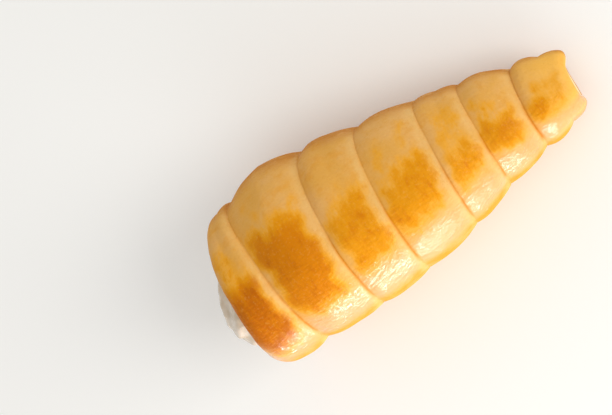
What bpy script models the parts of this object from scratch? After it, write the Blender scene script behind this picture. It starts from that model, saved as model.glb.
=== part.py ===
"""A cream horn: a strip of dough wound into a cone, baked lying on its side and filled with cream.

Metres, +Z up. The wide mouth is at -X and the narrow end at +X. The horn rests at Z = 0 on the
flats that its weight pressed into the underside of the coils, and the origin is at the bottom of
its box, in the middle.

A point of the horn is given by three numbers:
  station  the distance along the horn's axis, from the mouth
  bearing  the angle round the axis, from the underside: a quarter turn is the front (-Y), half a
           turn is the top, three quarters is the back (+Y)
  radius   the distance from the axis
"""

import math

import bmesh
import bpy
from mathutils import Vector

MM = 0.001
FULL_TURN = 2 * math.pi

# How the horn lies
AXIS_DIP = math.radians(10)       # the axis falls towards the narrow end
AXIS_HEIGHT = 34.9 * MM           # the height of the axis at station 0

# The wound strip, from the mouth to the narrow end. Each coil has the stations where it ends at its
# front, on its top and at its back, and how far it swells at its front and at its back.
COILS = (
    (14.2 * MM, 14.7 * MM, 11.2 * MM, 2.6 * MM, 0.6 * MM),
    (35.9 * MM, 38.8 * MM, 40.6 * MM, 1.3 * MM, 4.5 * MM),
    (54.8 * MM, 57.9 * MM, 60.5 * MM, 0.9 * MM, 1.9 * MM),
    (75.4 * MM, 79.0 * MM, 80.2 * MM, 1.2 * MM, 1.4 * MM),
    (91.2 * MM, 93.3 * MM, 94.2 * MM, 0.9 * MM, 0.6 * MM),
    (107.0 * MM, 108.4 * MM, 110.7 * MM, 1.5 * MM, 2.5 * MM),
    (118.0 * MM, 119.0 * MM, 119.8 * MM, 1.9 * MM, 1.8 * MM),
    (131.0 * MM, 131.0 * MM, 131.0 * MM, 0.5 * MM, 0.5 * MM),
)
SWELL_SHARPNESS = 2.4             # 2 is a round swell, more is flatter with narrower grooves
GROOVE_CONE = (                   # the radius at the bottom of the grooves: station, radius
    (0 * MM, 25.8 * MM),
    (12 * MM, 26.6 * MM),
    (38 * MM, 27.4 * MM),
    (57 * MM, 25.1 * MM),
    (78 * MM, 21.6 * MM),
    (93 * MM, 17.3 * MM),
    (110 * MM, 12.5 * MM),
    (119 * MM, 11.1 * MM),
    (128 * MM, 8.8 * MM),
)
LEAN_TO_BACK = (                  # how far the grooves' rings lie off the axis: station, distance
    (0 * MM, 0.2 * MM),
    (38 * MM, 0.4 * MM),
    (57 * MM, 0.0 * MM),
    (78 * MM, 0.2 * MM),
    (93 * MM, 0.8 * MM),
    (110 * MM, 0.0 * MM),
    (128 * MM, 0.2 * MM),
)
FIRST_GROOVE_OPENS = math.radians(70)
FUSED_GROOVE = 6                  # this groove has closed up on the top

# The two rims, each pushed along the axis in places: amount, bearing, spread
MOUTH_PUSHES = (
    (-3.0 * MM, math.radians(110), math.radians(50)),
    (1.2 * MM, math.radians(262), math.radians(40)),
)
NARROW_END = 124.2 * MM           # station of the narrow rim
NARROW_PUSHES = (                 # the strip's own end sticks out beside a notch
    (2.6 * MM, math.radians(258), math.radians(52)),
    (1.0 * MM, math.radians(104), math.radians(24)),
    (-1.2 * MM, math.radians(78), math.radians(18)),
)
MOUTH_LIP = 6.0 * MM              # how far along a rim is rounded outside, and how far it falls
MOUTH_LIP_FALL = 4.8 * MM
NARROW_LIP = 2.8 * MM
NARROW_LIP_FALL = 1.7 * MM
MOUTH_THROAT = 3.5 * MM           # how far along a rim is rounded inside
NARROW_THROAT = 3.0 * MM

# The bore that the baking mould left
BORE_AT_MOUTH = 17.5 * MM         # its radius at station 0
BORE_AT_NARROW_END = 4.6 * MM     # its radius at NARROW_END

# The cream
CREAM_GAP = 0.3 * MM              # left between the cream and the bore
CREAM_RECESS = 5.5 * MM           # how deep the cream sits in the narrow end
CREAM_SHOULDER = 3.0 * MM         # station where the dome starts to close
CREAM_DOME = 15.2 * MM            # height of the dome over its shoulder
CREAM_LEAN = 7.5 * MM             # how far the dome's top leans to the front
CREAM_RIDGES = 7                  # piped ridges round the dome
CREAM_RIDGE_DEPTH = 0.7 * MM
CREAM_TWIST = math.radians(70)    # how far the ridges turn on the way up the dome

# How finely the surfaces are divided
CRUST_COLUMNS = 56
ROWS_PER_COIL = 7
LIP_ROWS = 4
THROAT_ROWS = 3
CREAM_COLUMNS = 42
CREAM_BORE_ROWS = 3
CREAM_DOME_ROWS = 7
MERGE_DISTANCE = 0.00001

# Colour, roughness
CRUST_FINISH = ((0.72, 0.36, 0.09, 1.0), 0.38)
CREAM_FINISH = ((0.90, 0.85, 0.76, 1.0), 0.30)


def held(value, low, high):
    """The value, held between two limits."""
    return min(max(value, low), high)


def ease(value, start, end):
    """0 before start, 1 after end, and smooth from one to the other."""
    x = held((value - start) / (end - start), 0, 1)
    return x * x * (3 - 2 * x)


def curve_through(points, x):
    """The height at x of a smooth curve through (x, height) points, held at its two ends."""
    x = held(x, points[0][0], points[-1][0])
    slopes = []
    for i in range(len(points)):
        before = points[max(i - 1, 0)]
        after = points[min(i + 1, len(points) - 1)]
        slopes.append((after[1] - before[1]) / (after[0] - before[0]))
    i = 0
    while i < len(points) - 2 and x > points[i + 1][0]:
        i += 1
    step = points[i + 1][0] - points[i][0]
    t = (x - points[i][0]) / step
    start = (1 + 2 * t) * (1 - t) ** 2 * points[i][1] + t * (1 - t) ** 2 * step * slopes[i]
    end = t * t * (3 - 2 * t) * points[i + 1][1] + t * t * (t - 1) * step * slopes[i + 1]
    return start + end


def pushed(bearing, pushes):
    """How far a rim is pushed along the axis at a bearing."""
    total = 0
    for amount, centre, spread in pushes:
        away = (bearing - centre + math.pi) % FULL_TURN - math.pi
        total += amount * math.exp(-((away / spread) ** 2))
    return total


def mouth_rim(bearing):
    return pushed(bearing, MOUTH_PUSHES)


def narrow_rim(bearing):
    return NARROW_END + pushed(bearing, NARROW_PUSHES)


def strip_edge():
    """(turns, station) of the strip's edge: its start, then each front, top, back and underside."""
    table = [(0, 0)]
    for number, (front, top, back, _, _) in enumerate(COILS):
        next_front = COILS[min(number + 1, len(COILS) - 1)][0]
        table.append((number + 0.25, front))
        table.append((number + 0.5, top))
        table.append((number + 0.75, back))
        table.append((number + 1, (back + next_front) / 2))
    return table


def swell_heights():
    """(turns, height) of the swell at the front and the back of each coil."""
    table = []
    for number, (_, _, _, front_swell, back_swell) in enumerate(COILS):
        table.append((number + 0.25, front_swell))
        table.append((number + 0.75, back_swell))
    return table


STRIP_EDGE = strip_edge()
SWELL_HEIGHTS = swell_heights()


def groove(number, bearing):
    """The station at a bearing of the groove that ends a coil."""
    return curve_through(STRIP_EDGE, number + bearing / FULL_TURN)


def groove_depth(number, bearing):
    """1 where a groove is open, 0 where it has closed up."""
    if number < 0:
        return 0
    if number == 0:
        return ease(bearing, 0, FIRST_GROOVE_OPENS)
    if number == FUSED_GROOVE:
        return 1 - ease(-math.cos(bearing - math.radians(10)), 0.15, 0.7)
    return 1


def coil_edges(number, bearing):
    """The stations at a bearing where a coil starts and ends."""
    start = groove(number - 1, bearing) if number else mouth_rim(bearing)
    return start, max(groove(number, bearing), start + MERGE_DISTANCE)


def rim_fall(station, bearing):
    """How far the rounding of the two rims lowers the outer surface."""
    mouth = 1 - held((station - mouth_rim(bearing)) / MOUTH_LIP, 0, 1)
    narrow = 1 - held((narrow_rim(bearing) - station) / NARROW_LIP, 0, 1)
    mouth_fall = MOUTH_LIP_FALL * (1 - math.sqrt(1 - mouth * mouth))
    return mouth_fall + NARROW_LIP_FALL * (1 - math.sqrt(1 - narrow * narrow))


def crust_radius(station, bearing):
    """The radius of the outer surface."""
    number = 0
    while number < len(COILS) and station > coil_edges(number, bearing)[1]:
        number += 1
    start, end = coil_edges(number, bearing)
    share = held((station - start) / (end - start), 0, 1)
    if share < 0.5:
        neighbour, open_depth = -1, groove_depth(number - 1, bearing)
    else:
        neighbour, open_depth = 1, groove_depth(number, bearing)
    off_middle = abs(share - 0.5)
    turns = number + bearing / FULL_TURN
    here = curve_through(SWELL_HEIGHTS, turns)
    beside = curve_through(SWELL_HEIGHTS, turns + neighbour)
    height = here + (beside - here) * off_middle
    height *= 1 - open_depth * (2 * off_middle) ** SWELL_SHARPNESS
    cone = curve_through(GROOVE_CONE, station)
    cone -= curve_through(LEAN_TO_BACK, station) * math.sin(bearing)
    return cone + height - rim_fall(station, bearing)


def bore_radius(station):
    return BORE_AT_MOUTH + (BORE_AT_NARROW_END - BORE_AT_MOUTH) * station / NARROW_END


def coil_profile(bearing):
    """(station, radius) pairs of the outer surface between the two rims' roundings.

    The rows follow the grooves, so each row is a helix. Rows that haven't yet come out of one
    rounding, or have run into the other, lie on its edge.
    """
    first = mouth_rim(bearing) + MOUTH_LIP
    last = narrow_rim(bearing) - NARROW_LIP
    pairs = []
    for row in range((len(COILS) + 1) * ROWS_PER_COIL):
        number, step = divmod(row, ROWS_PER_COIL)
        share = step / ROWS_PER_COIL
        share = (share + (1 - math.cos(math.pi * share)) / 2) / 2
        if number == 0:
            turned = max(bearing / FULL_TURN, MERGE_DISTANCE)
            share = max(share - 1 + turned, 0) / turned
        start, end = coil_edges(number, bearing)
        station = held(start + share * (end - start), first, last)
        pairs.append((station, crust_radius(station, bearing)))
    return pairs


def rim_profile(bearing, rim, lip, throat):
    """(station, radius) pairs over a rim, from the edge of its rounding outside into the bore."""
    pairs = []
    for row in range(1, LIP_ROWS + 1):
        angle = row / LIP_ROWS * math.pi / 2
        station = rim + lip * (1 - math.sin(angle))
        pairs.append((station, crust_radius(station, bearing)))
    radius = crust_radius(rim, bearing)
    inner = bore_radius(rim + throat)
    for row in range(1, THROAT_ROWS + 1):
        angle = row / THROAT_ROWS * math.pi / 2
        pairs.append((rim + throat * (1 - math.cos(angle)), radius + (inner - radius) * math.sin(angle)))
    return pairs


def place(station, bearing, radius, shift=0):
    """The point at a station, bearing and radius, shifted to the front, of the lying horn."""
    along = Vector((math.cos(AXIS_DIP), 0, -math.sin(AXIS_DIP)))
    up = Vector((math.sin(AXIS_DIP), 0, math.cos(AXIS_DIP)))
    front = Vector((0, -1, 0))
    across = front * (radius * math.sin(bearing) + shift) - up * radius * math.cos(bearing)
    return Vector((0, 0, AXIS_HEIGHT)) + along * station + across


def join_columns(mesh, left, right):
    """A strip of faces between two columns of corners, with each corner once in a face."""
    for row in range(len(left) - 1):
        face = (left[row], left[row + 1], right[row + 1], right[row])
        mesh.faces.new(tuple(dict.fromkeys(face)))


def make_object(name, mesh, finish):
    """An object from a bmesh whose faces close it, with its own material."""
    bmesh.ops.remove_doubles(mesh, verts=mesh.verts, dist=MERGE_DISTANCE)
    bmesh.ops.recalc_face_normals(mesh, faces=mesh.faces)
    data = bpy.data.meshes.new(name)
    mesh.to_mesh(data)
    mesh.free()
    data.shade_smooth()
    colour, roughness = finish
    material = bpy.data.materials.new(name)
    material.use_nodes = True
    shader = material.node_tree.nodes["Principled BSDF"]
    shader.inputs["Base Color"].default_value = colour
    shader.inputs["Roughness"].default_value = roughness
    data.materials.append(material)
    piece = bpy.data.objects.new(name, data)
    bpy.context.scene.collection.objects.link(piece)
    return piece


def make_pastry():
    """The crust: the wound strip outside, the conical bore inside, a rounded rim at each end."""
    mesh = bmesh.new()
    coils = []
    rims_and_bore = []
    for column in range(CRUST_COLUMNS):
        bearing = FULL_TURN * column / CRUST_COLUMNS
        narrow = rim_profile(bearing, narrow_rim(bearing), -NARROW_LIP, -NARROW_THROAT)
        mouth = rim_profile(bearing, mouth_rim(bearing), MOUTH_LIP, MOUTH_THROAT)
        profile = coil_profile(bearing)
        corners = []
        for station, radius in profile + narrow + mouth[::-1]:
            point = place(station, bearing, radius)
            point.z = max(point.z, 0)
            corners.append(mesh.verts.new(point))
        coils.append(corners[:len(profile)])
        rims_and_bore.append(corners[len(profile) - 1:] + corners[:1])
    for column in range(CRUST_COLUMNS - 1):
        join_columns(mesh, coils[column], coils[column + 1])
        join_columns(mesh, rims_and_bore[column], rims_and_bore[column + 1])
    # Round the underside each row of the coils meets the row that is one coil further on.
    further_on = coils[0][ROWS_PER_COIL:] + [coils[0][-1]] * ROWS_PER_COIL
    join_columns(mesh, coils[-1], further_on)
    join_columns(mesh, rims_and_bore[-1], rims_and_bore[0])
    return make_object("pastry", mesh, CRUST_FINISH)


def cream_rings():
    """(station, radius, shift, ridge depth, twist) of the cream's rings, from inside to the dome."""
    rings = []
    inner_end = NARROW_END - CREAM_RECESS
    for row in range(CREAM_BORE_ROWS):
        station = inner_end + (CREAM_SHOULDER - inner_end) * row / CREAM_BORE_ROWS
        rings.append((station, bore_radius(station) - CREAM_GAP, 0, 0, 0))
    for row in range(CREAM_DOME_ROWS):
        angle = row / CREAM_DOME_ROWS * math.pi / 2
        rise = math.sin(angle)
        station = CREAM_SHOULDER - CREAM_DOME * rise
        radius = (bore_radius(CREAM_SHOULDER) - CREAM_GAP) * math.cos(angle)
        ridge = CREAM_RIDGE_DEPTH * math.sin(2 * angle)
        rings.append((station, radius, CREAM_LEAN * rise ** 1.5, ridge, CREAM_TWIST * rise))
    return rings


def make_cream():
    """The filling: it runs through the bore and is piped into a ridged dome out of the mouth."""
    mesh = bmesh.new()
    inner_end = mesh.verts.new(place(NARROW_END - CREAM_RECESS, 0, 0))
    dome_top = mesh.verts.new(place(CREAM_SHOULDER - CREAM_DOME, 0, 0, CREAM_LEAN))
    columns = []
    for column in range(CREAM_COLUMNS):
        bearing = FULL_TURN * column / CREAM_COLUMNS
        corners = []
        for station, radius, shift, ridge, twist in cream_rings():
            ridged = radius - ridge * (0.5 - 0.5 * math.cos(CREAM_RIDGES * (bearing + twist)))
            corners.append(mesh.verts.new(place(station, bearing, ridged, shift)))
        columns.append(corners)
    for column, corners in enumerate(columns):
        beside = columns[(column + 1) % CREAM_COLUMNS]
        join_columns(mesh, corners, beside)
        mesh.faces.new((inner_end, corners[0], beside[0]))
        mesh.faces.new((corners[-1], dome_top, beside[-1]))
    return make_object("cream", mesh, CREAM_FINISH)


def centre_on_origin(pieces):
    """Move the pieces' meshes so that the origin is under the middle of their common box."""
    corners = [vertex.co for piece in pieces for vertex in piece.data.vertices]
    middle_x = (min(corner.x for corner in corners) + max(corner.x for corner in corners)) / 2
    middle_y = (min(corner.y for corner in corners) + max(corner.y for corner in corners)) / 2
    for corner in corners:
        corner.x -= middle_x
        corner.y -= middle_y


for old in list(bpy.data.objects):
    bpy.data.objects.remove(old)
centre_on_origin([make_pastry(), make_cream()])
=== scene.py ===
"""The finished look of a cream horn: its baked crust, its cream, a pale table and soft daylight.

Metres, +Z up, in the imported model's frame. A point of the horn is given by its station (the
distance along the horn's axis from the mouth), its bearing (the angle round the axis from the
underside: a quarter turn is the front, -Y, and half a turn is the top) and its radius.
"""

import math

import bmesh
import bpy
import numpy as np
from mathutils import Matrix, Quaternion, Vector


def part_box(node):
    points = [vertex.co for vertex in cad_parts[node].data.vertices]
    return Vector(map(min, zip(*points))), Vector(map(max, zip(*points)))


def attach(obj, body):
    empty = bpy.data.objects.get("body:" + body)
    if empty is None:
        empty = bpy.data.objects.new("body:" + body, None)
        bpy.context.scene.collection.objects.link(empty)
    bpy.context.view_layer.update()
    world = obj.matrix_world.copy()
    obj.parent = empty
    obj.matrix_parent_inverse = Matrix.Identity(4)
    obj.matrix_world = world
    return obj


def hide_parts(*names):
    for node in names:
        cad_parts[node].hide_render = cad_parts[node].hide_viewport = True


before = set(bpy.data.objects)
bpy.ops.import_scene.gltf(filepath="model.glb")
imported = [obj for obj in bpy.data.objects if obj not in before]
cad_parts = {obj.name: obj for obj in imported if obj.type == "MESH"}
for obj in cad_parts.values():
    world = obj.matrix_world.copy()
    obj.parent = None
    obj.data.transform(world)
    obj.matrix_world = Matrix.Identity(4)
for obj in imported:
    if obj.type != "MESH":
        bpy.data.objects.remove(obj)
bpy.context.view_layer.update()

MM = 0.001
FULL_TURN = 2 * math.pi

# How the horn lies
AXIS_DIP = math.radians(10)       # the axis falls towards the narrow end
AXIS_HEIGHT = 34.9 * MM           # the height of the axis at station 0

# The wound strip: the stations where each coil ends at its front, on its top and at its back, and
# how far it swells at its front and at its back
COILS = (
    (14.2 * MM, 14.7 * MM, 11.2 * MM, 2.6 * MM, 0.6 * MM),
    (35.9 * MM, 38.8 * MM, 40.6 * MM, 1.3 * MM, 4.5 * MM),
    (54.8 * MM, 57.9 * MM, 60.5 * MM, 0.9 * MM, 1.9 * MM),
    (75.4 * MM, 79.0 * MM, 80.2 * MM, 1.2 * MM, 1.4 * MM),
    (91.2 * MM, 93.3 * MM, 94.2 * MM, 0.9 * MM, 0.6 * MM),
    (107.0 * MM, 108.4 * MM, 110.7 * MM, 1.5 * MM, 2.5 * MM),
    (118.0 * MM, 119.0 * MM, 119.8 * MM, 1.9 * MM, 1.8 * MM),
    (131.0 * MM, 131.0 * MM, 131.0 * MM, 0.5 * MM, 0.5 * MM),
)
SWELL_SHARPNESS = 2.7             # 2 is a round swell, more is flatter with narrower grooves
GROOVE_CONE = (                   # the radius at the bottom of the grooves: station, radius
    (0 * MM, 25.8 * MM),
    (12 * MM, 26.6 * MM),
    (38 * MM, 27.4 * MM),
    (57 * MM, 25.1 * MM),
    (78 * MM, 21.6 * MM),
    (93 * MM, 17.3 * MM),
    (110 * MM, 12.5 * MM),
    (119 * MM, 11.1 * MM),
    (128 * MM, 8.8 * MM),
)
LEAN_TO_BACK = (                  # how far the grooves' rings lie off the axis: station, distance
    (0 * MM, 0.2 * MM),
    (38 * MM, 0.4 * MM),
    (57 * MM, 0.0 * MM),
    (78 * MM, 0.2 * MM),
    (93 * MM, 0.8 * MM),
    (110 * MM, 0.0 * MM),
    (128 * MM, 0.2 * MM),
)
FIRST_GROOVE_OPENS = math.radians(70)    # from this bearing on it is fully open
FUSED_GROOVE = 6                  # this groove has closed up on the top
FUSED_TOWARDS_BACK = math.radians(10)
FUSED_FADE = (0.15, 0.7)          # 1 is the middle of the closed stretch, 0 a quarter turn from it
GROOVE_FILLET = 0.9 * MM          # how far the dough rounds into a groove
FILLET_FILL = 0.12                # how much of the swell is left at the bottom of a groove
CREASE_DEPTH = 0.12 * MM          # the sharp crease at the bottom of a groove
CREASE_WIDTH = 0.35 * MM

# The rims, each pushed along the axis in places (amount, bearing, spread), and the bore
MOUTH_PUSHES = (
    (-3.0 * MM, math.radians(110), math.radians(50)),
    (1.2 * MM, math.radians(262), math.radians(40)),
)
NARROW_END = 124.2 * MM
NARROW_PUSHES = (
    (2.6 * MM, math.radians(258), math.radians(52)),
    (1.0 * MM, math.radians(104), math.radians(24)),
    (-1.2 * MM, math.radians(78), math.radians(18)),
)
MOUTH_LIP = 6.0 * MM              # how far along a rim is rounded outside, and how far it falls
MOUTH_LIP_FALL = 4.8 * MM
NARROW_LIP = 2.8 * MM
NARROW_LIP_FALL = 1.7 * MM
MOUTH_THROAT = 3.5 * MM           # how far along a rim is rounded inside
NARROW_THROAT = 3.0 * MM
BORE_AT_MOUTH = 17.5 * MM
BORE_AT_NARROW_END = 4.6 * MM
TABLE_PRESS = 0.25 * MM           # how softly the underside is flattened

# The cream
CREAM_GAP = 0.3 * MM              # between the cream and the bore
CREAM_RECESS = 5.5 * MM           # how deep the cream sits in the narrow end
CREAM_SHOULDER = 3.0 * MM         # the station where the dome starts
CREAM_DOME = 15.2 * MM
CREAM_LEAN = 7.5 * MM             # how far the dome's top leans to the front
CREAM_LEAN_CURVE = 1.5
CREAM_RIDGES = 7
CREAM_RIDGE_DEPTH = 1.7 * MM
CREAM_TWIST = math.radians(70)
CREAM_HOLLOW = 0.6 * MM           # how far the middle of its narrow end is sunk
CREAM_LUMPS_FADE = 4.0 * MM       # the lumps are full this far out from the shoulder

# Soft unevenness: the size of the bumps, how high they are and their levels of detail
DOUGH_LUMPS = (13 * MM, 0.8 * MM, 1)
DOUGH_DIMPLES = (4 * MM, 0.16 * MM, 2)
CREAM_LUMPS = (6 * MM, 1.6 * MM, 2)

# How finely the pieces are divided
CRUST_COLUMNS = 280
ROWS_PER_COIL = 34
LIP_ROWS = 12
THROAT_ROWS = 8
BORE_ROWS = 16
EDGE_CROWDING = 0.65              # how far the rows crowd towards the grooves
CREAM_COLUMNS = 168
CREAM_BORE_ROWS = 12
CREAM_DOME_ROWS = 40
MERGE_DISTANCE = 0.00001

# Browned patches: the coil, where the patch starts and ends across the coil's width, where it
# starts and ends round the horn in degrees, and how brown it is
PATCHES = (
    (0, -0.20, 0.88, 131, 192, 0.96),
    (0, 0.06, 0.66, 190, 220, 0.42),
    (1, 0.04, 0.88, 146, 209, 0.84),
    (1, 0.20, 0.34, 200, 236, 0.44),
    (2, 0.08, 0.92, 150, 198, 0.64),
    (2, 0.42, 0.62, 196, 214, 0.34),
    (3, 0.00, 0.94, 154, 198, 0.62),
    (3, 0.16, 0.40, 196, 226, 0.32),
    (3, 0.56, 0.80, 200, 236, 0.28),
    (4, 0.06, 0.88, 156, 190, 0.56),
    (4, 0.16, 0.84, 186, 228, 0.35),
    (5, 0.00, 0.90, 158, 196, 0.66),
    (5, 0.08, 0.56, 190, 220, 0.42),
    (6, 0.02, 0.75, 157, 186, 0.56),
    (6, 0.40, 1.20, 150, 205, 0.36),
    (7, -0.30, 0.34, 150, 205, 0.36),
)
PATCH_SIDE_OUT = 0.12             # how far a patch fades out past its sides, and in from them
PATCH_SIDE_IN = 0.16
PATCH_END_OUT = 14                # the same at its ends, in degrees
PATCH_LOW_END_IN = 12
PATCH_HIGH_END_IN = 14
# How the patches' ends wander along the horn: degrees, length for a radian, coil's shift, start
PATCH_END_WAVES = (
    (1.8, 1.7 * MM, 1.0, 0.0),
    (1.44, 0.77 * MM, 2.1, 1.3),
    (3.5, 4.1 * MM, 1.7, 0.0),
)
# How their sides wander round it: share of the coil's width, waves in a turn, coil's shift
PATCH_SIDE_WAVES = (
    (0.05, 9, 2.3),
    (0.03, 21, 1.0),
)

# Bands round the horn, in degrees: where each starts, is full, starts to fade and has gone
# The painted shade in the creases is strongest in the first band
CREASE_SHADE_BAND = (118, 132, 168, 192)
FOLD_HIGHLIGHT_BAND = (98, 110, 118, 132)
# the front's painted warm bounce light
FRONT_BOUNCE_BAND = (84, 99, 107, 122)
SHEEN_BAND = (112, 124, 136, 152)
END_GLOSS_BAND = (84, 96, 122, 140)
BACK_SHADE_STARTS = (236, 260)
UNDERSIDE_ENDS = (40, 80)
WASH_STARTS = (108, 124)
WASH_THINS = (136, 154)           # above this the egg wash has mostly baked dry
WASH_DRIED = 0.93
WASH_ENDS = (196, 232)
# How glossy each coil's egg wash is, and how far its brushed band is shifted down, in degrees
COIL_WASH = (1.0, 1.0, 0.9, 0.7, 1.0, 1.0, 1.0, 1.0)
COIL_BRUSH_SHIFT = (9, 4, 0, 0, 0, -4, -4, -4)

# How far marks reach from the groove or rim they follow
CREASE_REACH = 0.42 * MM
FOLD_HIGHLIGHT_REACH = 0.6 * MM
DRY_CREASE_REACH = 0.8 * MM
MARGIN_AT = 1.1 * MM
MARGIN_REACH = 1.5 * MM
TUCK_SHADE_REACH = 2.6 * MM
RIM_REACH = 1.6 * MM
LEAST_CREASE_SHADE = 0.2                # how much painted shade the creases keep out of their band
# The inside is paler dough; at the narrow end it reaches near the rim as painted light on the shade in
# the throat
INSIDE_DEPTHS = (5 * MM, 2.4 * MM)    # how deep the pale inside starts at the mouth and narrow end
INSIDE_FADE = 0.3
RIM_FADES = (30 * MM, 60 * MM)    # only the mouth's rim is browned
TIP_FADES = (106 * MM, 122 * MM)
END_GLOSS_FADES = (116 * MM, 120 * MM)
TRAY_FADES = (0.5 * MM, 5 * MM)   # heights above the table


# ---------------------------------------------------------------- shape of the horn

def ease(value, start, end):
    """0 before start, 1 after end, and smooth from one to the other."""
    x = np.clip((value - start) / (end - start), 0, 1)
    return x * x * (3 - 2 * x)


def band(value, starts, full, fades, gone):
    """1 from full to fades, and 0 before starts and after gone."""
    return ease(value, starts, full) * (1 - ease(value, fades, gone))


def near(distance, reach):
    """1 at no distance, falling off smoothly past reach."""
    return np.exp(-((distance / reach) ** 2))


def curve_through(points, x):
    """The heights at x of a smooth curve through (x, height) points, held at its two ends."""
    places, heights = np.array(points, float).T
    slopes = np.empty(len(places))
    slopes[1:-1] = (heights[2:] - heights[:-2]) / (places[2:] - places[:-2])
    slopes[0] = (heights[1] - heights[0]) / (places[1] - places[0])
    slopes[-1] = (heights[-1] - heights[-2]) / (places[-1] - places[-2])
    x = np.clip(x, places[0], places[-1])
    i = np.clip(np.searchsorted(places, x, side="right") - 1, 0, len(places) - 2)
    step = places[i + 1] - places[i]
    t = (x - places[i]) / step
    start = (1 + 2 * t) * (1 - t) ** 2 * heights[i] + t * (1 - t) ** 2 * step * slopes[i]
    return start + t * t * (3 - 2 * t) * heights[i + 1] + t * t * (t - 1) * step * slopes[i + 1]


def pushed(bearing, pushes):
    """How far a rim is pushed along the axis at each bearing."""
    total = np.zeros_like(bearing)
    for amount, centre, spread in pushes:
        away = (bearing - centre + math.pi) % FULL_TURN - math.pi
        total += amount * near(away, spread)
    return total


def mouth_rim(bearing):
    return pushed(bearing, MOUTH_PUSHES)


def narrow_rim(bearing):
    return NARROW_END + pushed(bearing, NARROW_PUSHES)


def strip_edge():
    """(turns, station) of the strip's edge: its start, then each front, top, back and underside."""
    table = [(0, 0)]
    for number, (front, top, back, _, _) in enumerate(COILS):
        next_front = COILS[min(number + 1, len(COILS) - 1)][0]
        table.append((number + 0.25, front))
        table.append((number + 0.5, top))
        table.append((number + 0.75, back))
        table.append((number + 1, (back + next_front) / 2))
    return table


def swell_heights():
    """(turns, height) of the swell at the front and the back of each coil."""
    table = []
    for number, (_, _, _, front_swell, back_swell) in enumerate(COILS):
        table.append((number + 0.25, front_swell))
        table.append((number + 0.75, back_swell))
    return table


STRIP_EDGE = strip_edge()
SWELL_HEIGHTS = swell_heights()


def groove(number, bearing):
    """The station at each bearing of the groove that ends a coil."""
    return curve_through(STRIP_EDGE, number + bearing / FULL_TURN)


def groove_depth(number, bearing):
    """1 where a groove is open, 0 where it has closed up."""
    depth = np.where(number < 0, 0.0, 1.0)
    depth = np.where(number == 0, ease(bearing, 0, FIRST_GROOVE_OPENS), depth)
    closed = ease(-np.cos(bearing - FUSED_TOWARDS_BACK), *FUSED_FADE)
    return np.where(number == FUSED_GROOVE, 1 - closed, depth)


def coil_edges(number, bearing):
    """The stations at each bearing where a coil starts and ends."""
    start = np.where(number > 0, groove(number - 1, bearing), mouth_rim(bearing))
    return start, np.maximum(groove(number, bearing), start + MERGE_DISTANCE)


def coil_at(station, bearing):
    """The number of the coil at each point, and how far across its width the point is."""
    number = np.zeros(len(station), int)
    for coil in range(len(COILS)):
        number += station > coil_edges(np.full(len(station), coil), bearing)[1]
    start, end = coil_edges(number, bearing)
    return number, np.clip((station - start) / (end - start), 0, 1)


def rim_fall(station, bearing):
    """How far the rounding of the two rims lowers the outer surface."""
    mouth = 1 - np.clip((station - mouth_rim(bearing)) / MOUTH_LIP, 0, 1)
    narrow = 1 - np.clip((narrow_rim(bearing) - station) / NARROW_LIP, 0, 1)
    mouth_fall = MOUTH_LIP_FALL * (1 - np.sqrt(1 - mouth * mouth))
    return mouth_fall + NARROW_LIP_FALL * (1 - np.sqrt(1 - narrow * narrow))


def from_groove(station, bearing):
    """The distance along the axis to the nearest groove, and how open that groove is there."""
    number, share = coil_at(station, bearing)
    start, end = coil_edges(number, bearing)
    nearer_start = share < 0.5
    distance = np.where(nearer_start, station - start, end - station)
    return distance, groove_depth(np.where(nearer_start, number - 1, number), bearing)


def crust_radius(station, bearing):
    """The radius of the outer surface."""
    number, share = coil_at(station, bearing)
    neighbour = np.where(share < 0.5, -1, 1)
    distance, open_depth = from_groove(station, bearing)
    off_middle = abs(share - 0.5)
    turns = number + bearing / FULL_TURN
    here = curve_through(SWELL_HEIGHTS, turns)
    beside = curve_through(SWELL_HEIGHTS, turns + neighbour)
    height = here + (beside - here) * off_middle
    closed_in = near(distance, GROOVE_FILLET)
    height *= 1 - open_depth * (2 * off_middle) ** SWELL_SHARPNESS * (1 - FILLET_FILL * closed_in)
    crease = CREASE_DEPTH * open_depth * near(distance, CREASE_WIDTH)
    lean = curve_through(LEAN_TO_BACK, station) * np.sin(bearing)
    cone = curve_through(GROOVE_CONE, station) - lean
    return cone + height - crease - rim_fall(station, bearing)


def bore_radius(station):
    return BORE_AT_MOUTH + (BORE_AT_NARROW_END - BORE_AT_MOUTH) * station / NARROW_END


# ---------------------------------------------------------------- placing points

ALONG = np.array((math.cos(AXIS_DIP), 0, -math.sin(AXIS_DIP)))
UP = np.array((math.sin(AXIS_DIP), 0, math.cos(AXIS_DIP)))
FRONT = np.array((0, -1, 0))
AXIS_START = np.array((0, 0, AXIS_HEIGHT))


def place(station, bearing, radius, shift=0.0):
    """The points at these stations, bearings and radii, shifted to the front."""
    forwards = radius * np.sin(bearing) + shift
    across = np.outer(forwards, FRONT) - np.outer(radius * np.cos(bearing), UP)
    return AXIS_START + np.outer(station, ALONG) + across


def locate(points):
    """The station, bearing and radius of each point."""
    offset = points - AXIS_START
    front = offset @ FRONT
    down = -(offset @ UP)
    return offset @ ALONG, np.arctan2(front, down) % FULL_TURN, np.hypot(front, down)


def mesh_points(piece):
    points = np.empty(len(piece.data.vertices) * 3)
    piece.data.vertices.foreach_get("co", points)
    return points.reshape(-1, 3)


def set_mesh_points(piece, points):
    piece.data.vertices.foreach_set("co", np.asarray(points, float).ravel())
    piece.data.update()


# ---------------------------------------------------------------- working on a piece

def work_on(piece, mode):
    """Make a piece the only one selected, in object or edit mode, with nothing in it selected."""
    if bpy.context.mode != "OBJECT":
        bpy.ops.object.mode_set(mode="OBJECT")
    bpy.ops.object.select_all(action="DESELECT")
    piece.select_set(True)
    bpy.context.view_layer.objects.active = piece
    if mode == "EDIT":
        bpy.ops.object.mode_set(mode="EDIT")
        bpy.ops.mesh.select_mode(type="VERT")
        bpy.ops.mesh.select_all(action="DESELECT")


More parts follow.
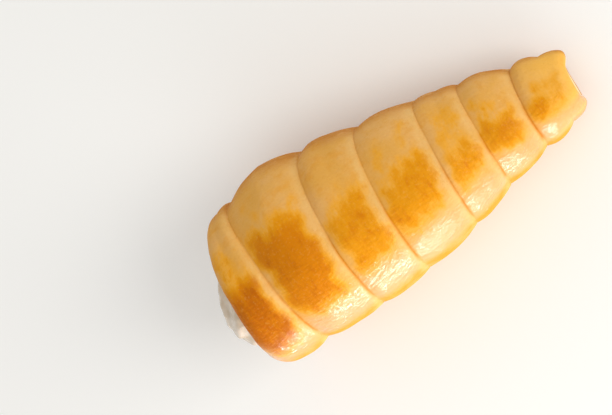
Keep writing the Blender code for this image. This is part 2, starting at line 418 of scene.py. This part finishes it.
def move_selected(piece, shape):
    """Put the selected corners where shape(bearing) gives their points."""
    mesh = bmesh.from_edit_mesh(piece.data)
    chosen = [vertex for vertex in mesh.verts if vertex.select]
    bearing = locate(np.array([vertex.co for vertex in chosen]))[1]
    for vertex, point in zip(chosen, shape(bearing)):
        vertex.co = point
    bmesh.update_edit_mesh(piece.data)


def finish_mesh(piece):
    """Close a piece, point its faces out, and leave it selected in object mode, shaded smooth."""
    bpy.ops.mesh.select_all(action="SELECT")
    bpy.ops.mesh.remove_doubles(threshold=MERGE_DISTANCE)
    bpy.ops.mesh.normals_make_consistent(inside=False)
    work_on(piece, "OBJECT")
    bpy.ops.object.shade_smooth()


def dent(piece, name, unevenness, weights=None):
    """Give a piece soft unevenness, as much outwards as inwards, where its corners have weight."""
    size, depth, detail = unevenness
    texture = bpy.data.textures.new(name, "CLOUDS")
    texture.noise_scale = size
    texture.noise_depth = detail
    press = piece.modifiers.new(name, "DISPLACE")
    press.texture = texture
    press.texture_coords = "LOCAL"
    press.mid_level = 0.5
    press.strength = depth
    if weights is not None:
        group = piece.vertex_groups.new(name=name)
        for corner, weight in enumerate(weights):
            group.add([corner], float(weight), "REPLACE")
        press.vertex_group = name
    bpy.ops.object.modifier_apply(modifier=name)
    piece.vertex_groups.clear()


def paint(piece, name, values):
    """Keep a number for each corner, for the material to read."""
    layer = piece.data.attributes.new(name, "FLOAT", "POINT")
    layer.data.foreach_set("value", np.asarray(values, float))


# ---------------------------------------------------------------- the crust

def roll_out_dough():
    """The strip of dough, flat: X counts the turns along it, Y is how far across it is."""
    turns = len(COILS) + 1        # the turn past the coils ends up gathered on the narrow rim
    bpy.ops.mesh.primitive_grid_add(
        x_subdivisions=turns * CRUST_COLUMNS, y_subdivisions=ROWS_PER_COIL, size=1,
        location=(turns / 2, 0.5, 0))
    strip = bpy.context.object
    strip.name = "baked_crust"
    strip.scale = (turns, 1, 1)
    bpy.ops.object.transform_apply(location=True, rotation=True, scale=True)
    return strip


def wind_onto_mould(strip):
    """Wind the flat strip round the cone, so that each turn's edge meets the next."""
    flat = mesh_points(strip)
    column = np.rint(flat[:, 0] * CRUST_COLUMNS).astype(int)
    number = column // CRUST_COLUMNS
    bearing = column % CRUST_COLUMNS / CRUST_COLUMNS * FULL_TURN
    share = np.clip(flat[:, 1], 0, 1)
    share = EDGE_CROWDING * (1 - np.cos(math.pi * share)) / 2 + (1 - EDGE_CROWDING) * share
    # The first turn widens from nothing, so where it is narrow most of its rows lie on the rim.
    turned = np.maximum(bearing / FULL_TURN, MERGE_DISTANCE)
    share = np.where(number == 0, np.maximum(share - 1 + turned, 0) / turned, share)
    start, end = coil_edges(number, bearing)
    first = mouth_rim(bearing) + MOUTH_LIP
    last = narrow_rim(bearing) - NARROW_LIP
    station = np.clip(start + share * (end - start), first, last)
    set_mesh_points(strip, place(station, bearing, crust_radius(station, bearing)))


def roll_rim(crust, rim_of, lip, throat):
    """Extrude an open edge over its rim and into the bore, ring by ring."""
    work_on(crust, "EDIT")
    mesh = bmesh.from_edit_mesh(crust.data)
    for edge in mesh.edges:
        if edge.is_boundary:
            station = locate(np.array([edge.verts[0].co]))[0][0]
            edge.select_set((station < NARROW_END / 2) == (lip > 0))
    mesh.select_flush_mode()
    bmesh.update_edit_mesh(crust.data)
    for row in range(1, LIP_ROWS + 1):
        angle = row / LIP_ROWS * math.pi / 2

        def over_the_lip(bearing, angle=angle):
            station = rim_of(bearing) + lip * (1 - math.sin(angle))
            return place(station, bearing, crust_radius(station, bearing))

        bpy.ops.mesh.extrude_edges_move()
        move_selected(crust, over_the_lip)
    for row in range(1, THROAT_ROWS + 1):
        angle = row / THROAT_ROWS * math.pi / 2

        def down_the_throat(bearing, angle=angle):
            rim = rim_of(bearing)
            radius = crust_radius(rim, bearing)
            radius += (bore_radius(rim + throat) - radius) * math.sin(angle)
            return place(rim + throat * (1 - math.cos(angle)), bearing, radius)

        bpy.ops.mesh.extrude_edges_move()
        move_selected(crust, down_the_throat)


def join_through_bore():
    """Bridge the two open rings that are left, one in each throat, with the wall of the bore."""
    bpy.ops.mesh.select_all(action="DESELECT")
    bpy.ops.mesh.select_non_manifold(
        use_wire=False, use_multi_face=False, use_non_contiguous=False, use_verts=False)
    bpy.ops.mesh.bridge_edge_loops(number_cuts=BORE_ROWS)


def rest_on_table(piece):
    """Flatten what would reach below the table, with a soft edge."""
    points = mesh_points(piece)
    height = points[:, 2]
    points[:, 2] = (height + np.sqrt(height * height + 4 * TABLE_PRESS * TABLE_PRESS)) / 2
    set_mesh_points(piece, points)


def patch_strength(number, share, station, bearing):
    """How brown each point has baked, with wandering soft edges that the material makes ragged."""
    degrees = np.degrees(bearing)
    for height, length, coil_shift, start in PATCH_END_WAVES:
        degrees = degrees + height * np.sin(station / length + coil_shift * number + start)
    for height, waves, coil_shift in PATCH_SIDE_WAVES:
        share = share + height * np.sin(waves * bearing + coil_shift * number)
    brown = np.zeros(len(number))
    for coil, start, end, low, high, strength in PATCHES:
        across = band(share, start - PATCH_SIDE_OUT, start + PATCH_SIDE_IN,
                      end - PATCH_SIDE_IN, end + PATCH_SIDE_OUT)
        round_horn = band(degrees, low - PATCH_END_OUT, low + PATCH_LOW_END_IN,
                          high - PATCH_HIGH_END_IN, high + PATCH_END_OUT)
        brown = np.where(number == coil, np.maximum(brown, strength * across * round_horn), brown)
    return brown


def egg_wash(number, station, degrees, crease):
    """How glossy the dried egg wash is: most in a band along the front, none in the creases."""
    brushed = degrees + np.array(COIL_BRUSH_SHIFT)[number]
    washed = ease(degrees, *WASH_STARTS) * (1 - ease(degrees, *WASH_ENDS))
    washed *= 1 - WASH_DRIED * ease(brushed, *WASH_THINS)
    washed *= (1 - crease) * np.array(COIL_WASH)[number]
    end_gloss = ease(station, *END_GLOSS_FADES) * band(degrees, *END_GLOSS_BAND)
    return np.maximum(washed, end_gloss)


def paint_crust(crust):
    """Where the crust is browned, washed, baked on the tray, or the inside of the bore, and where
    shade and highlights are painted on it.
    """
    points = mesh_points(crust)
    station, bearing, radius = locate(points)
    degrees = np.degrees(bearing)
    number, share = coil_at(station, bearing)
    distance, open_depth = from_groove(station, bearing)

    surface = crust_radius(station, bearing)
    inside_from = np.interp(station, (0, NARROW_END), INSIDE_DEPTHS)
    inside = 1 - ease(radius, surface - inside_from, surface - INSIDE_FADE * inside_from)
    outside = 1 - inside
    paint(crust, "inside", inside)
    paint(crust, "browned", patch_strength(number, share, station, bearing) * outside)

    # Along the grooves: painted shade darkening the crease, a painted highlight on the fold, the edge
    # before the groove painted paler, partly as paler dough and partly as a painted highlight, and
    # painted shade on the dough tucked in after it
    crease_shade = LEAST_CREASE_SHADE + (1 - LEAST_CREASE_SHADE) * band(degrees, *CREASE_SHADE_BAND)
    paint(crust, "crease", crease_shade * open_depth * near(distance, CREASE_REACH) * outside)
    fold_highlight_share = band(degrees, *FOLD_HIGHLIGHT_BAND)
    paint(crust, "fold_highlight", fold_highlight_share * open_depth * near(distance, FOLD_HIGHLIGHT_REACH) * outside)
    before_groove = open_depth * (share > 0.5)
    after_groove = open_depth * (share <= 0.5) * (number > 0)
    paint(crust, "paler_edge_and_highlight", before_groove * near(distance - MARGIN_AT, MARGIN_REACH))
    paint(crust, "tuck_shade", after_groove * near(distance, TUCK_SHADE_REACH))

    # Round the horn: the underside browned on the tray and the back darkened with painted shade, the
    # front painted more orange as warm bounce light, and the egg wash with its sheen
    paint(crust, "side", ease(degrees, *BACK_SHADE_STARTS) + 1 - ease(degrees, *UNDERSIDE_ENDS))
    paint(crust, "front", band(degrees, *FRONT_BOUNCE_BAND))
    paint(crust, "sheen", band(degrees + np.array(COIL_BRUSH_SHIFT)[number], *SHEEN_BAND))
    crease = open_depth * near(distance, DRY_CREASE_REACH)
    paint(crust, "washed", egg_wash(number, station, degrees, crease) * outside)

    # At the mouth's rim, the narrow end and the underside
    rim = np.minimum(station - mouth_rim(bearing), narrow_rim(bearing) - station)
    paint(crust, "rim", (1 - ease(station, *RIM_FADES)) * near(rim, RIM_REACH) * outside)
    # The narrow end is painted yellower and brighter: partly yellower dough, partly painted light
    # where the light falls strongest
    paint(crust, "yellow_lit_tip", ease(station, *TIP_FADES))
    paint(crust, "tray", 1 - ease(points[:, 2], *TRAY_FADES))


def make_crust():
    crust = roll_out_dough()
    wind_onto_mould(crust)
    work_on(crust, "EDIT")
    bpy.ops.mesh.select_all(action="SELECT")
    bpy.ops.mesh.remove_doubles(threshold=MERGE_DISTANCE)
    roll_rim(crust, mouth_rim, MOUTH_LIP, MOUTH_THROAT)
    roll_rim(crust, narrow_rim, -NARROW_LIP, -NARROW_THROAT)
    join_through_bore()
    finish_mesh(crust)
    dent(crust, "lumps", DOUGH_LUMPS)
    dent(crust, "dimples", DOUGH_DIMPLES)
    rest_on_table(crust)
    paint_crust(crust)
    return crust


# ---------------------------------------------------------------- the cream

def cream_rings():
    """(station, radius, shift, ridge depth, twist) of the cream's rings, from inside to the dome."""
    rings = []
    inner_end = NARROW_END - CREAM_RECESS
    for row in range(CREAM_BORE_ROWS):
        station = inner_end + (CREAM_SHOULDER - inner_end) * row / CREAM_BORE_ROWS
        rings.append((station, bore_radius(station) - CREAM_GAP, 0, 0, 0))
    for row in range(CREAM_DOME_ROWS):
        angle = row / CREAM_DOME_ROWS * math.pi / 2
        rise = math.sin(angle)
        station = CREAM_SHOULDER - CREAM_DOME * rise
        radius = (bore_radius(CREAM_SHOULDER) - CREAM_GAP) * math.cos(angle)
        ridge = CREAM_RIDGE_DEPTH * math.sin(2 * angle)
        lean = CREAM_LEAN * rise ** CREAM_LEAN_CURVE
        rings.append((station, radius, lean, ridge, CREAM_TWIST * rise))
    return rings


def lay_cream_disc(cream, station, radius):
    """Put the corners of a flat disc across the bore, and select its edge."""
    mesh = bmesh.from_edit_mesh(cream.data)
    middle = min(mesh.verts, key=lambda vertex: vertex.co.length)
    around = [vertex for vertex in mesh.verts if vertex is not middle]
    around.sort(key=lambda vertex: math.atan2(vertex.co.y, vertex.co.x))
    middle.co = place(np.array([station - CREAM_HOLLOW]), np.zeros(1), np.zeros(1))[0]
    bearing = np.arange(CREAM_COLUMNS) * FULL_TURN / CREAM_COLUMNS
    ring = place(np.full(CREAM_COLUMNS, station), bearing, np.full(CREAM_COLUMNS, radius))
    for vertex, point in zip(around, ring):
        vertex.co = point
    for edge in mesh.edges:
        edge.select_set(edge.is_boundary)
    mesh.select_flush_mode()
    bmesh.update_edit_mesh(cream.data)


def extrude_cream_ring(cream, station, radius, shift, ridge, twist):
    """Extrude the selected edge to a ring with ridges, its corners kept at their bearings."""
    bpy.ops.mesh.extrude_edges_move()
    mesh = bmesh.from_edit_mesh(cream.data)
    chosen = [vertex for vertex in mesh.verts if vertex.select]
    now = np.array([vertex.co for vertex in chosen])
    offset = now - now.mean(axis=0)
    bearing = np.arctan2(offset @ FRONT, -(offset @ UP))
    ridged = radius - ridge * (0.5 - 0.5 * np.cos(CREAM_RIDGES * (bearing + twist)))
    for vertex, point in zip(chosen, place(np.full(len(chosen), station), bearing, ridged, shift)):
        vertex.co = point
    bmesh.update_edit_mesh(cream.data)


def make_cream():
    """A disc in the narrow end, extruded ring by ring through the bore into the piped dome."""
    bpy.ops.mesh.primitive_circle_add(vertices=CREAM_COLUMNS, radius=1, fill_type="TRIFAN")
    cream = bpy.context.object
    cream.name = "piped_cream"
    work_on(cream, "EDIT")
    rings = cream_rings()
    lay_cream_disc(cream, *rings[0][:2])
    for ring in rings[1:]:
        extrude_cream_ring(cream, *ring)
    bpy.ops.mesh.extrude_edges_move()
    bpy.ops.mesh.merge(type="CENTER")
    finish_mesh(cream)
    # The lumps grow out from the shoulder, so that they stay clear of the bore.
    out_from_shoulder = CREAM_SHOULDER - locate(mesh_points(cream))[0]
    dent(cream, "cream_lumps", CREAM_LUMPS, ease(out_from_shoulder, 0, CREAM_LUMPS_FADE))
    return cream


# ---------------------------------------------------------------- colours and finishes

def colour(red, green, blue):
    """A display colour, 0 to 255, as the renderer's linear colour."""
    channels = []
    for value in (red, green, blue):
        value /= 255
        channels.append(value / 12.92 if value <= 0.04045 else ((value + 0.055) / 1.055) ** 2.4)
    return (*channels, 1.0)


# The crust's patterns: the way each runs, how fine it is, its levels of detail and its roughness
PATTERNS = {
    "cloudy": ("every_way", 70, 3, 0.50),
    "blotches": ("every_way", 150, 5, 0.60),
    "tints": ("every_way", 190, 4, 0.60),
    "speckle": ("every_way", 1300, 2, 0.50),
    "strokes": ("round_coils", 700, 5, 0.62),
    "strands": ("round_coils", 1100, 3, 0.55),
    "wrinkles": ("along_horn", 1000, 2, 0.50),
}
RUN_SCALE = 0.34                  # a pattern's scale the way it runs, which draws it out
CLOUDY_RANGE = (0.35, 0.65)       # the part of each pattern's range that counts
TINTS_RANGE = (0.48, 0.68)
BLOTCHES_RANGE = (0.3, 0.7)

# Dough that hasn't browned
PALE_DOUGH = colour(227, 174, 102)
YELLOW_DOUGH = colour(224, 166, 78)
TINTED_DOUGH = colour(222, 152, 50)
TINT_STRENGTH = 0.5
# at the narrow end: partly yellower dough, partly painted light
TIP_DOUGH = colour(246, 187, 84)
TIP_STRENGTH = 0.75

# Browned dough: how brown it is, and its colour
BROWNING = (
    (0.05, colour(228, 170, 84)),
    (0.34, colour(231, 163, 50)),
    (0.58, colour(222, 145, 12)),
    (0.82, colour(208, 123, 0)),
    (1.00, colour(188, 100, 0)),
)
BROWNED_FROM = (0.0, 0.44)        # from pale dough to the browned colours
RAGGED_FROM = (0.0, 0.5)          # the patches' unevenness starts and is full
CALM_FROM = (0.45, 0.80)          # and where it calms down in the middle of the brownest ones
CALM_SHARE = 0.45
UNEVENNESS = 1.6

# What lies over the browning, in order: the painted place, the pattern that breaks it up with the
# part of its range that goes from none to all, how strong it is, and its colour
OVERLAYS = (
    # front: a more orange band painted as the warm bounce light along the front
    ("front", "blotches", (0.20, 0.60), 0.95, colour(228, 148, 34)),
    ("sheen", "brown", (0.40, 0.10), 0.70, colour(227, 162, 98)),
    # the edge before each groove, which faces the light: partly paler dough, partly painted highlight
    ("paler_edge_and_highlight", "uneven", (0.50, -0.45), 0.85, colour(232, 188, 116)),
    # the dough just after each groove: painted shade
    ("tuck_shade", None, None, 0.20, colour(218, 150, 50)),
    # side: the underside browned on the tray, and the back darkened with painted shade
    ("side", "blotches", (0.15, 0.55), 0.85, colour(194, 120, 32)),
    # crease: painted shade darkening the bottom of each groove
    ("crease", "cloudy", (0.20, 0.50), 0.80, colour(208, 124, 8)),
    # fold: painted highlight along the groove on the front
    ("fold_highlight", "strokes", (0.35, 0.65), 0.50, colour(240, 200, 136)),
    ("rim", None, None, 0.40, colour(204, 124, 20)),
    ("tray", "blotches", (0.20, 0.60), 1.00, colour(172, 98, 24)),
    # inside: the bore's paler dough, and near the narrow rim painted light on the shade there
    ("inside", None, None, 1.00, colour(246, 220, 176)),
)
# Fine specks over everything, darker then paler: the part of the range, strength and colour
SPECKS = (
    ((0.56, 0.70), 0.12, colour(198, 124, 30)),
    ((0.44, 0.30), 0.12, colour(238, 190, 110)),
)

# Gloss and relief of the crust. The dried egg wash is glossier than the dough and shows its
# wrinkles more.
SMOOTH_ROUGHNESS = (0.20, 0.30)   # of the washed part, from the least to the most blotchy
DRY_ROUGHNESS = 0.36              # what dry dough adds to it
WRINKLE_SHARE = 0.8
STRAND_SHARE = 0.3
DOUGH_RELIEF = 0.3 * MM
GLAZE_RELIEF = 0.55 * MM
DOUGH_FINISH = {
    "Specular IOR Level": 0.08,
    "Specular Tint": (1.0, 0.85, 0.6, 1.0),
    "Subsurface Weight": 0.12,
    "Subsurface Radius": (1.0, 0.85, 0.6),
    "Subsurface Scale": 0.7 * MM,
    "Coat Roughness": 0.08,
    "Coat IOR": 1.6,
}

PALE_CREAM = colour(222, 208, 190)
DEEP_CREAM = colour(200, 180, 152)
CREAM_CLOUDS = 120                # how fine the cream's two colours are, and its relief
CREAM_FOLDS = 420
CREAM_DETAIL = 3
CREAM_RELIEF = 0.6 * MM
CREAM_RELIEF_STRENGTH = 0.6
CREAM_FINISH = {
    "Roughness": 0.16,
    "Subsurface Weight": 0.15,
    "Subsurface Radius": (1.0, 0.8, 0.6),
    "Subsurface Scale": 2 * MM,
}

TABLE_FINISH = {
    "Base Color": colour(250, 250, 248),
    "Roughness": 0.7,
}


# ---------------------------------------------------------------- material nodes

def add_node(tree, kind, inputs=None, **settings):
    """A node with its settings made, and its inputs given values or joined to other nodes' outputs."""
    node = tree.nodes.new(kind)
    for name, value in settings.items():
        setattr(node, name, value)
    for name, value in (inputs or {}).items():
        if isinstance(value, bpy.types.NodeSocket):
            tree.links.new(value, node.inputs[name])
        else:
            node.inputs[name].default_value = value
    return node


def add(tree, first, second):
    return add_node(tree, "ShaderNodeMath", {0: first, 1: second}, operation="ADD").outputs[0]


def times(tree, first, second):
    return add_node(tree, "ShaderNodeMath", {0: first, 1: second}, operation="MULTIPLY").outputs[0]


def mix_colours(tree, share, first, second):
    colours = {0: share, 6: first, 7: second}
    return add_node(tree, "ShaderNodeMix", colours, data_type="RGBA").outputs[2]


def remap(tree, value, low, high, first, last, interpolation="LINEAR"):
    """A value's range from low to high, turned into first to last and held past them."""
    limits = {0: value, 1: low, 2: high, 3: first, 4: last}
    return add_node(tree, "ShaderNodeMapRange", limits, interpolation_type=interpolation).outputs[0]


def stretch(tree, value, low, high):
    """A value's range from low to high, stretched smoothly to 0 to 1."""
    return remap(tree, value, low, high, 0.0, 1.0, "SMOOTHSTEP")


def noise(tree, where, scale, detail, roughness=0.5):
    inputs = {"Vector": where, "Scale": scale, "Detail": detail, "Roughness": roughness}
    return add_node(tree, "ShaderNodeTexNoise", inputs).outputs["Fac"]


def object_place(tree):
    return add_node(tree, "ShaderNodeTexCoord").outputs["Object"]


def attribute(tree, name):
    return add_node(tree, "ShaderNodeAttribute", attribute_name=name).outputs["Fac"]


def bump(tree, height, distance, strength=1.0):
    inputs = {"Height": height, "Strength": strength, "Distance": distance}
    return add_node(tree, "ShaderNodeBump", inputs).outputs[0]


def new_material(name, finish):
    """A material with the finish's constant values set on its shader."""
    material = bpy.data.materials.new(name)
    material.use_nodes = True
    shader = material.node_tree.nodes["Principled BSDF"]
    for socket, value in finish.items():
        shader.inputs[socket].default_value = value
    return material, material.node_tree, shader


# ---------------------------------------------------------------- the crust's material

def crust_patterns(tree):
    """The named patterns that the crust's colour and relief are made of."""
    ways = {"every_way": object_place(tree)}
    runs = {"round_coils": (1.0, RUN_SCALE, RUN_SCALE), "along_horn": (RUN_SCALE, 1.0, 1.0)}
    for way, scale in runs.items():
        # Turned level with the horn, then drawn out the way it runs.
        inputs = {"Vector": ways["every_way"], "Rotation": (0, -AXIS_DIP, 0), "Scale": scale}
        ways[way] = add_node(tree, "ShaderNodeMapping", inputs).outputs[0]
    return {name: noise(tree, ways[way], *rest) for name, (way, *rest) in PATTERNS.items()}


def add_browning(tree, patterns):
    """Add the patterns "uneven" and "brown": the painted patches with ragged edges and streaks."""
    patch = attribute(tree, "browned")
    uneven = add(tree, times(tree, patterns["strokes"], 0.5), times(tree, patterns["blotches"], 0.5))
    uneven = times(tree, add(tree, uneven, -0.5), UNEVENNESS)
    calm = remap(tree, patch, *CALM_FROM, 1.0, CALM_SHARE)
    ragged = times(tree, calm, stretch(tree, patch, *RAGGED_FROM))
    patterns["uneven"] = uneven
    patterns["brown"] = add(tree, patch, times(tree, uneven, ragged))


def browned_colour(tree, brown):
    ramp = add_node(tree, "ShaderNodeValToRGB", {"Fac": brown})
    ramp.color_ramp.interpolation = "EASE"
    while len(ramp.color_ramp.elements) < len(BROWNING):
        ramp.color_ramp.elements.new(0.5)
    for element, (position, shade) in zip(ramp.color_ramp.elements, BROWNING):
        element.position = position
        element.color = shade
    return ramp.outputs[0]


def pale_colour(tree, patterns):
    """Dough that hasn't browned, in two tones, tinted here and there, and yellower and brighter at the
    tip, partly painted light.
    """
    cloudy = stretch(tree, patterns["cloudy"], *CLOUDY_RANGE)
    pale = mix_colours(tree, cloudy, PALE_DOUGH, YELLOW_DOUGH)
    tint = times(tree, stretch(tree, patterns["tints"], *TINTS_RANGE), TINT_STRENGTH)
    pale = mix_colours(tree, tint, pale, TINTED_DOUGH)
    return mix_colours(tree, times(tree, attribute(tree, "yellow_lit_tip"), TIP_STRENGTH), pale, TIP_DOUGH)


def crust_colour(tree, patterns):
    """Pale dough, the browning over it, then each painted place, painted light and shade among them,
    and the fine specks.
    """
    brown = patterns["brown"]
    browned = stretch(tree, brown, *BROWNED_FROM)
    surface = mix_colours(tree, browned, pale_colour(tree, patterns), browned_colour(tree, brown))
    for name, pattern, limits, strength, shade in OVERLAYS:
        share = attribute(tree, name)
        if pattern:
            share = times(tree, share, stretch(tree, patterns[pattern], *limits))
        surface = mix_colours(tree, times(tree, share, strength), surface, shade)
    for limits, strength, shade in SPECKS:
        share = times(tree, stretch(tree, patterns["speckle"], *limits), strength)
        surface = mix_colours(tree, share, surface, shade)
    return surface


def crust_material():
    material, tree, shader = new_material("baked_dough", DOUGH_FINISH)
    patterns = crust_patterns(tree)
    add_browning(tree, patterns)
    tree.links.new(crust_colour(tree, patterns), shader.inputs["Base Color"])

    washed = attribute(tree, "washed")
    smooth = remap(tree, patterns["blotches"], *BLOTCHES_RANGE, *SMOOTH_ROUGHNESS)
    dry = remap(tree, washed, 0.0, 1.0, DRY_ROUGHNESS, 0.0)
    tree.links.new(add(tree, smooth, dry), shader.inputs["Roughness"])
    tree.links.new(washed, shader.inputs["Coat Weight"])

    wrinkles = times(tree, patterns["wrinkles"], WRINKLE_SHARE)
    relief = add(tree, wrinkles, times(tree, patterns["strands"], STRAND_SHARE))
    tree.links.new(bump(tree, relief, DOUGH_RELIEF), shader.inputs["Normal"])
    tree.links.new(bump(tree, relief, GLAZE_RELIEF), shader.inputs["Coat Normal"])
    return material


# ---------------------------------------------------------------- the other materials

def cream_material():
    material, tree, shader = new_material("whipped_cream", CREAM_FINISH)
    where = object_place(tree)
    cloudy = stretch(tree, noise(tree, where, CREAM_CLOUDS, CREAM_DETAIL), *CLOUDY_RANGE)
    surface = mix_colours(tree, cloudy, PALE_CREAM, DEEP_CREAM)
    tree.links.new(surface, shader.inputs["Base Color"])
    folds = noise(tree, where, CREAM_FOLDS, CREAM_DETAIL)
    relief = bump(tree, folds, CREAM_RELIEF, CREAM_RELIEF_STRENGTH)
    tree.links.new(relief, shader.inputs["Normal"])
    return material


def table_material():
    return new_material("pale_table", TABLE_FINISH)[0]


# ---------------------------------------------------------------- studio

VIEW_AIM = Vector((-28.04, 10.617, 24.5)) * MM    # what the camera looks at
VIEW_DISTANCE = 475.2 * MM
VIEW_ELEVATION = math.radians(65.75)
VIEW_AZIMUTH = math.radians(-3.62)                # round from +X
VIEW_ROLL = math.radians(-120.02)
VIEW_LENS = 85.0
VIEW_SENSOR = 36

TABLE_SIZE = 4
TABLE_DROP = 0.05 * MM            # how far the table lies below the horn's own resting plane
SKY_TINT = (1.0, 0.99, 0.97, 1.0)
SKY_STRENGTH = 0.68
LIGHTS_AIM = Vector((0, 0, 25)) * MM
# Each light's name, place, size, power and tint
LIGHTS = (
    ("window", (1.30, -0.38, 0.93), (0.96, 0.96), 13.5, (1.0, 0.985, 0.95)),
    ("window_ledge", (-0.03, -0.45, 0.045), (0.32, 0.035), 1.55, (1.0, 0.96, 0.97)),
)


def make_camera():
    data = bpy.data.cameras.new("camera")
    data.lens = VIEW_LENS
    data.sensor_width = VIEW_SENSOR
    camera = bpy.data.objects.new("camera", data)
    bpy.context.scene.collection.objects.link(camera)
    level = math.cos(VIEW_ELEVATION)
    height = math.sin(VIEW_ELEVATION)
    back = Vector((level * math.cos(VIEW_AZIMUTH), level * math.sin(VIEW_AZIMUTH), height))
    camera.location = VIEW_AIM + back * VIEW_DISTANCE
    camera.rotation_mode = "QUATERNION"
    camera.rotation_quaternion = back.to_track_quat("Z", "Y") @ Quaternion((0, 0, 1), VIEW_ROLL)
    bpy.context.scene.camera = camera


def make_light(name, place_at, size, power, tint):
    data = bpy.data.lights.new(name, "AREA")
    data.shape = "RECTANGLE"
    data.size, data.size_y = size
    data.energy = power
    data.color = tint
    light = bpy.data.objects.new(name, data)
    bpy.context.scene.collection.objects.link(light)
    light.location = place_at
    light.rotation_mode = "QUATERNION"
    light.rotation_quaternion = (LIGHTS_AIM - light.location).to_track_quat("-Z", "Y")


def make_table():
    bpy.ops.mesh.primitive_plane_add(size=TABLE_SIZE, location=(0, 0, -TABLE_DROP))
    table = bpy.context.object
    table.name = "table"
    bpy.ops.object.transform_apply(location=True)
    table.data.materials.append(table_material())


def make_sky():
    world = bpy.data.worlds.new("daylight")
    world.use_nodes = True
    sky = world.node_tree.nodes["Background"]
    sky.inputs["Color"].default_value = SKY_TINT
    sky.inputs["Strength"].default_value = SKY_STRENGTH
    bpy.context.scene.world = world


def make_studio():
    make_table()
    make_sky()
    for light in LIGHTS:
        make_light(*light)
    make_camera()
    bpy.context.scene.view_settings.view_transform = "Standard"


# ---------------------------------------------------------------- assembly

def settle(pieces):
    """Move the pieces together so that the crust's box has its middle where the CAD crust's is."""
    points = mesh_points(pieces[0])
    low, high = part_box("pastry")
    shift = (np.array(low) + np.array(high)) / 2 - (points.min(axis=0) + points.max(axis=0)) / 2
    shift[2] = 0
    for piece in pieces:
        set_mesh_points(piece, mesh_points(piece) + shift)


bpy.ops.object.select_all(action="DESELECT")
crust = make_crust()
cream = make_cream()
settle([crust, cream])
crust.data.materials.append(crust_material())
cream.data.materials.append(cream_material())

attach(crust, "root")
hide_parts("pastry")
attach(cream, "root")
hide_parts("cream")

make_studio()
